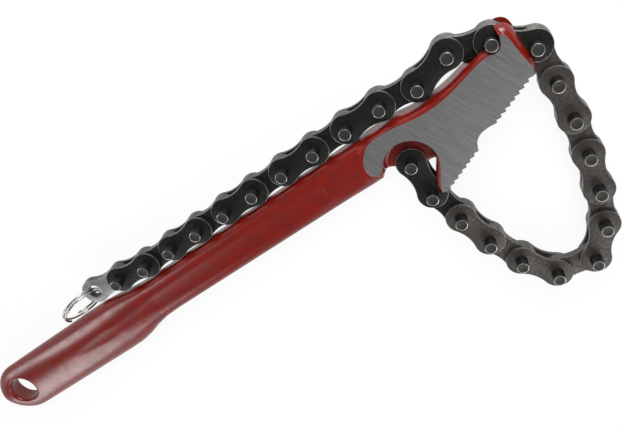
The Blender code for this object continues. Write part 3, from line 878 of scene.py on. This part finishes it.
# %% Shaft sizes
HANDLE_REACH = 271.5 * MM
NECK_END_X = -39.6 * MM
NECK_UP, NECK_DOWN = 9.7 * MM, 8.8 * MM
GRIP_UP, GRIP_DOWN = 12.7 * MM, 14.0 * MM
NECK_HALF, GRIP_HALF, END_HALF = 5.7 * MM, 6.7 * MM, 4.9 * MM
END_LENGTH = 15.0 * MM
NECK_BOXINESS, GRIP_BOXINESS = 3.6, 2.05
STATION_SHARES = (
    (0.000, 0.00, 0.00), (0.200, 0.00, 0.00), (0.420, 0.00, 0.00), (0.530, 0.00, 0.00),
    (0.565, 0.06, 0.04), (0.600, 0.33, 0.20), (0.632, 0.72, 0.45), (0.665, 0.97, 0.75),
    (0.710, 1.00, 1.00), (0.860, 1.00, 0.95), (1.000, 1.00, 0.10),
)
STRAIGHT = HANDLE_REACH + NECK_END_X - END_LENGTH
THINNING_FROM, THINNING_SHARE, THINNING_POWER = 0.80, 0.20, 1.5
RAMP_START, RAMP_LENGTH, RAMP_RISE = -60.0 * MM, 17.0 * MM, 1.15 * MM
print("straight part of the shaft in mm:", round(STRAIGHT / MM, 1))

# %% Sections of the shaft
SECTION_STEPS = 96


def shaft_section(x, up, down, half, boxiness):
    """A superellipse across the handle at x, reaching up and down by different amounts."""
    ring = []
    for i in range(SECTION_STEPS):
        angle = 2.0 * math.pi * (i + 0.5) / SECTION_STEPS
        c, s = math.cos(angle), math.sin(angle)
        reach = up if c > 0.0 else down
        y = reach * math.copysign(abs(c) ** (2.0 / boxiness), c)
        z = half * math.copysign(abs(s) ** (2.0 / boxiness), s)
        ring.append((x, y, MID_Z + z))
    return ring


def station(along):
    """Width and thickness shares between the stations, on a smooth curve."""
    for (a, wa, ta), (b, wb, tb) in zip(STATION_SHARES, STATION_SHARES[1:]):
        if along <= b:
            t = (along - a) / (b - a)
            t = t * t * (3.0 - 2.0 * t) if wa in (0.0, 1.0) or wb in (0.0, 1.0) else t
            return mix(wa, wb, t), mix(ta, tb, t)
    return STATION_SHARES[-1][1:]


def half_thickness(along):
    """Half the shaft's thickness, which falls away again towards its end."""
    half = mix(NECK_HALF, GRIP_HALF, station(along)[1])
    thinning = max(0.0, (along - THINNING_FROM) / THINNING_SHARE)
    return mix(half, END_HALF, thinning ** THINNING_POWER)


def jaw_ramp(x):
    """How much thicker the neck gets as it runs up to the level of the ground face."""
    share = min(1.0, max(0.0, (x - RAMP_START) / RAMP_LENGTH))
    return RAMP_RISE * share * share * (3.0 - 2.0 * share)


print("half thickness at the grip's end in mm:", round(half_thickness(1.0) / MM, 2))

# %% Blank of the shaft
SHAFT_STEPS = 120
END_STEPS, END_ANGLE_STEP = 18, 4.8
END_WIDTH_POWER, END_HALF_POWER = 0.85, 0.25


def shaft_blank():
    rings = []
    for i in range(SHAFT_STEPS + 1):
        along = i / SHAFT_STEPS
        x, wide = NECK_END_X - along * STRAIGHT, station(along)[0]
        up, down = mix(NECK_UP, GRIP_UP, wide), mix(NECK_DOWN, GRIP_DOWN, wide)
        boxiness = mix(NECK_BOXINESS, GRIP_BOXINESS, wide)
        rings.append(shaft_section(x, up, down, half_thickness(along) + jaw_ramp(x), boxiness))
    for i in range(1, END_STEPS + 1):
        angle = math.radians(END_ANGLE_STEP * i)
        x = NECK_END_X - STRAIGHT - END_LENGTH * math.sin(angle)
        width = math.cos(angle) ** END_WIDTH_POWER
        half = END_HALF * math.cos(angle) ** END_HALF_POWER
        rings.append(shaft_section(x, GRIP_UP * width, GRIP_DOWN * width, half, GRIP_BOXINESS))
    return loft("shaft_blank", rings)


handle = shaft_blank()
print("points of the shaft:", len(handle.data.vertices))

# %% [markdown]
# ## Troughs and hanging hole
# A shallow trough runs along each wide side of the neck and fades out in the grip. It is scooped
# by a very fat rod that lies almost wholly outside the bar, which leaves the soft hollow that a
# forging die leaves. The hole for a nail opens out to a round rim, as its enamel does.

# %% Troughs
TROUGH_RADIUS = 26.0 * MM
TROUGH_Y = 0.3 * MM
TROUGH_SIDES = 96
TROUGH_STATIONS = (
    (-61.0, -0.40), (-61.8, 0.00), (-63.0, 0.25), (-65.5, 0.42), (-70.0, 0.48), (-120.0, 0.42),
    (-160.0, 0.30), (-185.0, 0.14), (-215.0, -0.02), (-230.0, -0.30),
)


def trough(side):
    """Stations give x and depth in mm: deep soon after the jaw, ever shallower along the grip."""
    rings = []
    for x, depth in TROUGH_STATIONS:
        half = half_thickness(min(1.0, (NECK_END_X - x * MM) / STRAIGHT))
        centre = (TROUGH_Y, MID_Z + side * (half + TROUGH_RADIUS - depth * MM))
        rings.append([(x * MM, p.x, p.y) for p in circle(centre, TROUGH_RADIUS, TROUGH_SIDES)])
    return loft("trough", rings)


for side in (1.0, -1.0):
    combine(handle, trough(side), "DIFFERENCE", "EXACT")
print("faces with troughs:", len(handle.data.polygons))

# %% Hanging hole
HANG_HOLE_RADIUS, HANG_HOLE_WALL, HANG_HOLE_SIDES = 7.0 * MM, 7.3 * MM, 64
HANG_FLARE, FLARE_STEPS = 1.0 * MM, 6
OVERRUN = 3.0 * MM


def hanging_bore():
    """The hole for a nail, opened out to a soft rim on both faces."""
    centre = (HANG_HOLE_WALL + HANG_HOLE_RADIUS - HANDLE_REACH, 0.5 * (GRIP_UP - GRIP_DOWN))
    levels = [(END_HALF + OVERRUN, HANG_FLARE), (END_HALF, HANG_FLARE)]
    for i in range(1, FLARE_STEPS + 1):
        angle = math.radians(90.0 * i / FLARE_STEPS)
        height = END_HALF - HANG_FLARE * math.sin(angle)
        levels.append((height, HANG_FLARE * (1.0 - math.sin(angle))))
    levels += [(-height, wider) for height, wider in reversed(levels)]
    rings = []
    for height, wider in reversed(levels):
        outline = circle(centre, HANG_HOLE_RADIUS + wider, HANG_HOLE_SIDES)
        rings.append([(p.x, p.y, MID_Z + height) for p in outline])
    return loft("hanging_bore", rings)


combine(handle, hanging_bore(), "DIFFERENCE", "EXACT")
print("faces with the hole:", len(handle.data.polygons))

# %% [markdown]
# ## Joining the blank
# The jaw is joined to the shaft, and so is the thin web in the middle of the recess, which
# carries the chain's first pin. Remeshing turns the whole into small even squares, and a few
# rounds of smoothing then take down every ridge at which two lofts met.

# %% Web
WEB_SHARES = ((-3.843, -1.216), (-3.622, -1.279), (-3.465, -1.398))
WEB_END_RADIUS, WEB_STEPS, WEB_END_STEPS = 5.6 * MM, 40, 24
WEB_FROM, WEB_TO = -18.0, 160.0
WEB_END_FROM, WEB_END_TO = 178.0, 320.0


def web_outline():
    outline = arc(ANCHOR, RECESS_RADIUS + 2.0 * BORDER_WIDTH, WEB_FROM, WEB_TO, WEB_STEPS)
    outline += [jaw_point(a, b) for a, b in WEB_SHARES]
    return outline + arc(ANCHOR, WEB_END_RADIUS, WEB_END_FROM, WEB_END_TO, WEB_END_STEPS)


web = prism("web", web_outline(), MID_Z - INNER_HALF, MID_Z + INNER_HALF)
print("web thickness in mm:", round(2.0 * INNER_HALF / MM, 2))

# %% Forge the blank
VOXEL_SIZE = 0.42 * MM
MELT_SHARE, MELT_ROUNDS = 0.5, 9
combine(handle, jaw_blank(), "UNION", "EXACT")
combine(handle, web, "UNION", "EXACT")
soften = handle.modifiers.new("remesh", "REMESH")
soften.mode = "VOXEL"
soften.voxel_size = VOXEL_SIZE
apply_modifiers(handle)
melt = handle.modifiers.new("smooth", "SMOOTH")
melt.factor = MELT_SHARE
melt.iterations = MELT_ROUNDS
apply_modifiers(handle)
print("blank faces:", len(handle.data.polygons))

# %% [markdown]
# ## Milling and grinding
# Now the machine shop's work. A slot splits the hook into a fork, so that the chain can lie
# between its prongs with a pin across them. The claw at the other end is left whole here,
# though the CAD model forks it too. One cutter mills the teeth, a bore takes the anchor pin,
# and both wide faces are ground by keeping only what lies between two levels.

# %% Slot of the hook
SLOT_RADIUS = END_RADIUS + 0.7 * MM
SLOT_HALF = INNER_HALF + PLATE_GAP + PLATE_THICKNESS + 0.35 * MM
SLOT_PAST_PIN = 0.45


def offset_path(route, distance):
    """The route moved to its right by the distance, and as far past both of its ends."""
    ways = [(b - a).normalized() for a, b in zip(route, route[1:])]
    sides = [Vector((way.y, -way.x)) for way in ways]
    points = [route[0] - ways[0] * distance + sides[0] * distance]
    for i in range(1, len(ways)):
        corner = (sides[i - 1] + sides[i]).normalized()
        points.append(route[i] + corner * (distance / corner.dot(sides[i])))
    return points + [route[-1] + ways[-1] * distance + sides[-1] * distance]


def hook_slot():
    """Under the links that come over the hook, and open above them."""
    seat, after, before, under = (pins[i].xy for i in (13, 14, 12, 11))
    start, end = mix(seat, after, SLOT_PAST_PIN), mix(before, under, SLOT_PAST_PIN)
    edge = offset_path([start, seat, before, end], SLOT_RADIUS)
    far, high = before.x + PITCH, seat.y + PITCH
    return edge + [Vector((far, edge[-1].y)), Vector((far, high)), Vector((edge[0].x, high))]


print("slot width in mm:", round(2.0 * SLOT_HALF / MM, 2))

# %% Mill it
MILL_BACK_SHARES = ((-2.935, -2.52), (-3.3, -3.0), (1.5, -3.0), (1.5, -1.03))
SLAB_CORNERS = ((-400, -90), (90, -90), (90, 90), (-400, 90))
ANCHOR_BORE_SIDES = 40
through = (-OVERRUN, JAW_THICKNESS + OVERRUN)
low, high = MID_Z - SLOT_HALF, MID_Z + SLOT_HALF
mill = tooth_line + [jaw_point(a, b) for a, b in MILL_BACK_SHARES]
slab = [(x * MM, y * MM) for x, y in SLAB_CORNERS]
anchor_bore = circle(ANCHOR, BORE_RADIUS, ANCHOR_BORE_SIDES)
combine(handle, prism("mill", mill, *through), "DIFFERENCE")
combine(handle, prism("hook_slot", hook_slot(), low, high), "DIFFERENCE")
combine(handle, prism("grind", slab, 0.0, JAW_THICKNESS), "INTERSECT")
combine(handle, prism("bore", anchor_bore, *through), "DIFFERENCE")
print("milled faces:", len(handle.data.polygons))

# %% [markdown]
# ## Enamel
# The enamel is one deep red coat: glossy, a little uneven, and darker where it lies thick. Wide
# soft patches change its red and its gloss together, and a fine long peel in the bump breaks up
# the sheen, since paint on a forging is never as smooth as glass.

# %% Enamel
ENAMEL_TINTS = (
    (0.3, (0.120, 0.0044, 0.0020)), (0.5, (0.150, 0.0056, 0.0026)),
    (0.75, (0.190, 0.0078, 0.0037)),
)
ENAMEL_GLOSS = ((0.3, grey(0.30)), (0.7, grey(0.22)))
ENAMEL_PATCHES, ENAMEL_DETAIL = (40.0, 40.0, 40.0), 6.0
ENAMEL_COAT, ENAMEL_COAT_ROUGHNESS = 0.06, 0.15
PEEL_SCALE, PEEL_DETAIL, PEEL_STRENGTH, PEEL_HEIGHT = (260.0, 700.0, 700.0), 3.0, 0.25, 0.1 * MM
enamel, tree, shader = new_material("red_enamel")
patch, _ = place_texture(tree, ENAMEL_PATCHES)
patch.inputs["Detail"].default_value = ENAMEL_DETAIL
tint = ramp(tree, patch.outputs["Fac"], ENAMEL_TINTS)
tree.links.new(tint.outputs["Color"], shader.inputs["Base Color"])
gloss = ramp(tree, patch.outputs["Fac"], ENAMEL_GLOSS)
tree.links.new(gloss.outputs["Color"], shader.inputs["Roughness"])
shader.inputs["Coat Weight"].default_value = ENAMEL_COAT
shader.inputs["Coat Roughness"].default_value = ENAMEL_COAT_ROUGHNESS
peel, _ = place_texture(tree, PEEL_SCALE)
peel.inputs["Detail"].default_value = PEEL_DETAIL
add_bump(tree, shader, peel.outputs["Fac"], PEEL_STRENGTH, PEEL_HEIGHT)
print("enamel nodes:", len(tree.nodes))

# %% [markdown]
# ## Ground and milled steel
# The ground faces show the grinding wheel's streaks, which all run one way across the jaw. They
# are noise drawn out along one direction. The mapping node is set to texture, because then its
# turn comes before its stretch and the streaks do lean. The walls that the milling cutter left
# are darker and plainer.

# %% Ground steel
STREAK_LEAN = 23.0
STREAK_WIDTH, STREAK_LENGTH, STREAK_DEPTH = 0.9 * MM, 45.0 * MM, 20.0 * MM
STREAK_DETAIL, STREAK_ROUGHNESS = 4.0, 0.62
STREAK_TINTS = ((0.28, grey(0.11)), (0.5, grey(0.19)), (0.74, grey(0.30)))
STREAK_GLOSS = ((0.3, grey(0.44)), (0.7, grey(0.34)))
STREAK_STRENGTH, STREAK_HEIGHT = 0.10, 0.03 * MM
GROUND_METAL = 0.75
ground_steel, tree, shader = new_material("ground_steel")
streaks, mapping = place_texture(tree, (STREAK_WIDTH, STREAK_LENGTH, STREAK_DEPTH))
mapping.vector_type = "TEXTURE"
mapping.inputs["Rotation"].default_value = (0.0, 0.0, math.radians(STREAK_LEAN))
streaks.inputs["Detail"].default_value = STREAK_DETAIL
streaks.inputs["Roughness"].default_value = STREAK_ROUGHNESS
tint = ramp(tree, streaks.outputs["Fac"], STREAK_TINTS)
tree.links.new(tint.outputs["Color"], shader.inputs["Base Color"])
shader.inputs["Metallic"].default_value = GROUND_METAL
gloss = ramp(tree, streaks.outputs["Fac"], STREAK_GLOSS)
tree.links.new(gloss.outputs["Color"], shader.inputs["Roughness"])
add_bump(tree, shader, streaks.outputs["Fac"], STREAK_STRENGTH, STREAK_HEIGHT)
print("ground steel nodes:", len(tree.nodes))

# %% Milled steel
MILL_TOLERANCE, UPRIGHT_LIMIT = 0.03 * MM, 0.2
milled_steel = steel("milled_steel", (0.07, 0.066, 0.062), (0.16, 0.152, 0.145),
                     0.8, (0.34, 0.5), 0.4)


def milled_walls(mesh, outline):
    """Which faces stand upright on the cutter's outline: the teeth and the throat."""
    count = len(mesh.polygons)
    centres, normals = np.empty(3 * count), np.empty(3 * count)
    mesh.polygons.foreach_get("center", centres)
    mesh.polygons.foreach_get("normal", normals)
    flat = centres.reshape(count, 3)[:, :2]
    upright = np.abs(normals.reshape(count, 3)[:, 2]) < UPRIGHT_LIMIT
    near = np.zeros(count, dtype=bool)
    for a, b in zip(outline, outline[1:]):
        start, way = np.array(a), np.array(b - a)
        share = np.clip((flat - start) @ way / (way @ way), 0.0, 1.0)
        gap = np.linalg.norm(flat - start - share[:, None] * way, axis=1)
        near |= gap < MILL_TOLERANCE
    return upright & near


walls = milled_walls(handle.data, tooth_line)
print("milled faces along the teeth:", int(walls.sum()))

# %% [markdown]
# ## Finishing the forging
# Each face of the forging is given its finish by where it lies: level with a ground face, on the
# milled line, or anywhere else. Edges between two finishes are marked sharp, since smooth
# shading would otherwise spread a dark wedge over the large flat faces.

# %% Finishes of the forging
ENAMEL_SLOT, GROUND_SLOT, MILLED_SLOT = range(3)
FLAT_LIMIT, LEVEL_TOLERANCE = 0.999, 0.01 * MM
handle.name = "handle_dressed"
mesh = handle.data
mesh.materials.clear()
for material in (enamel, ground_steel, milled_steel):
    mesh.materials.append(material)
for polygon, wall in zip(mesh.polygons, walls):
    z = polygon.center.z
    level = min(abs(z), abs(z - JAW_THICKNESS)) < LEVEL_TOLERANCE
    ground = level and abs(polygon.normal.z) > FLAT_LIMIT
    polygon.material_index = GROUND_SLOT if ground else MILLED_SLOT if wall else ENAMEL_SLOT
print("ground faces:", sum(1 for face in mesh.polygons if face.material_index == GROUND_SLOT))

# %% Sharp edges and the last calls
HANDLE_SHARP_ANGLE = 38.0
mesh.shade_smooth()
mesh.set_sharp_from_angle(angle=math.radians(HANDLE_SHARP_ANGLE))
bm = bmesh.new()
bm.from_mesh(mesh)
for edge in bm.edges:
    if len({face.material_index for face in edge.link_faces}) > 1:
        edge.smooth = False
bm.to_mesh(mesh)
bm.free()
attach(handle, "wrench")
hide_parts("handle")
print("sharp edges:", sum(1 for edge in mesh.edges if edge.use_edge_sharp))
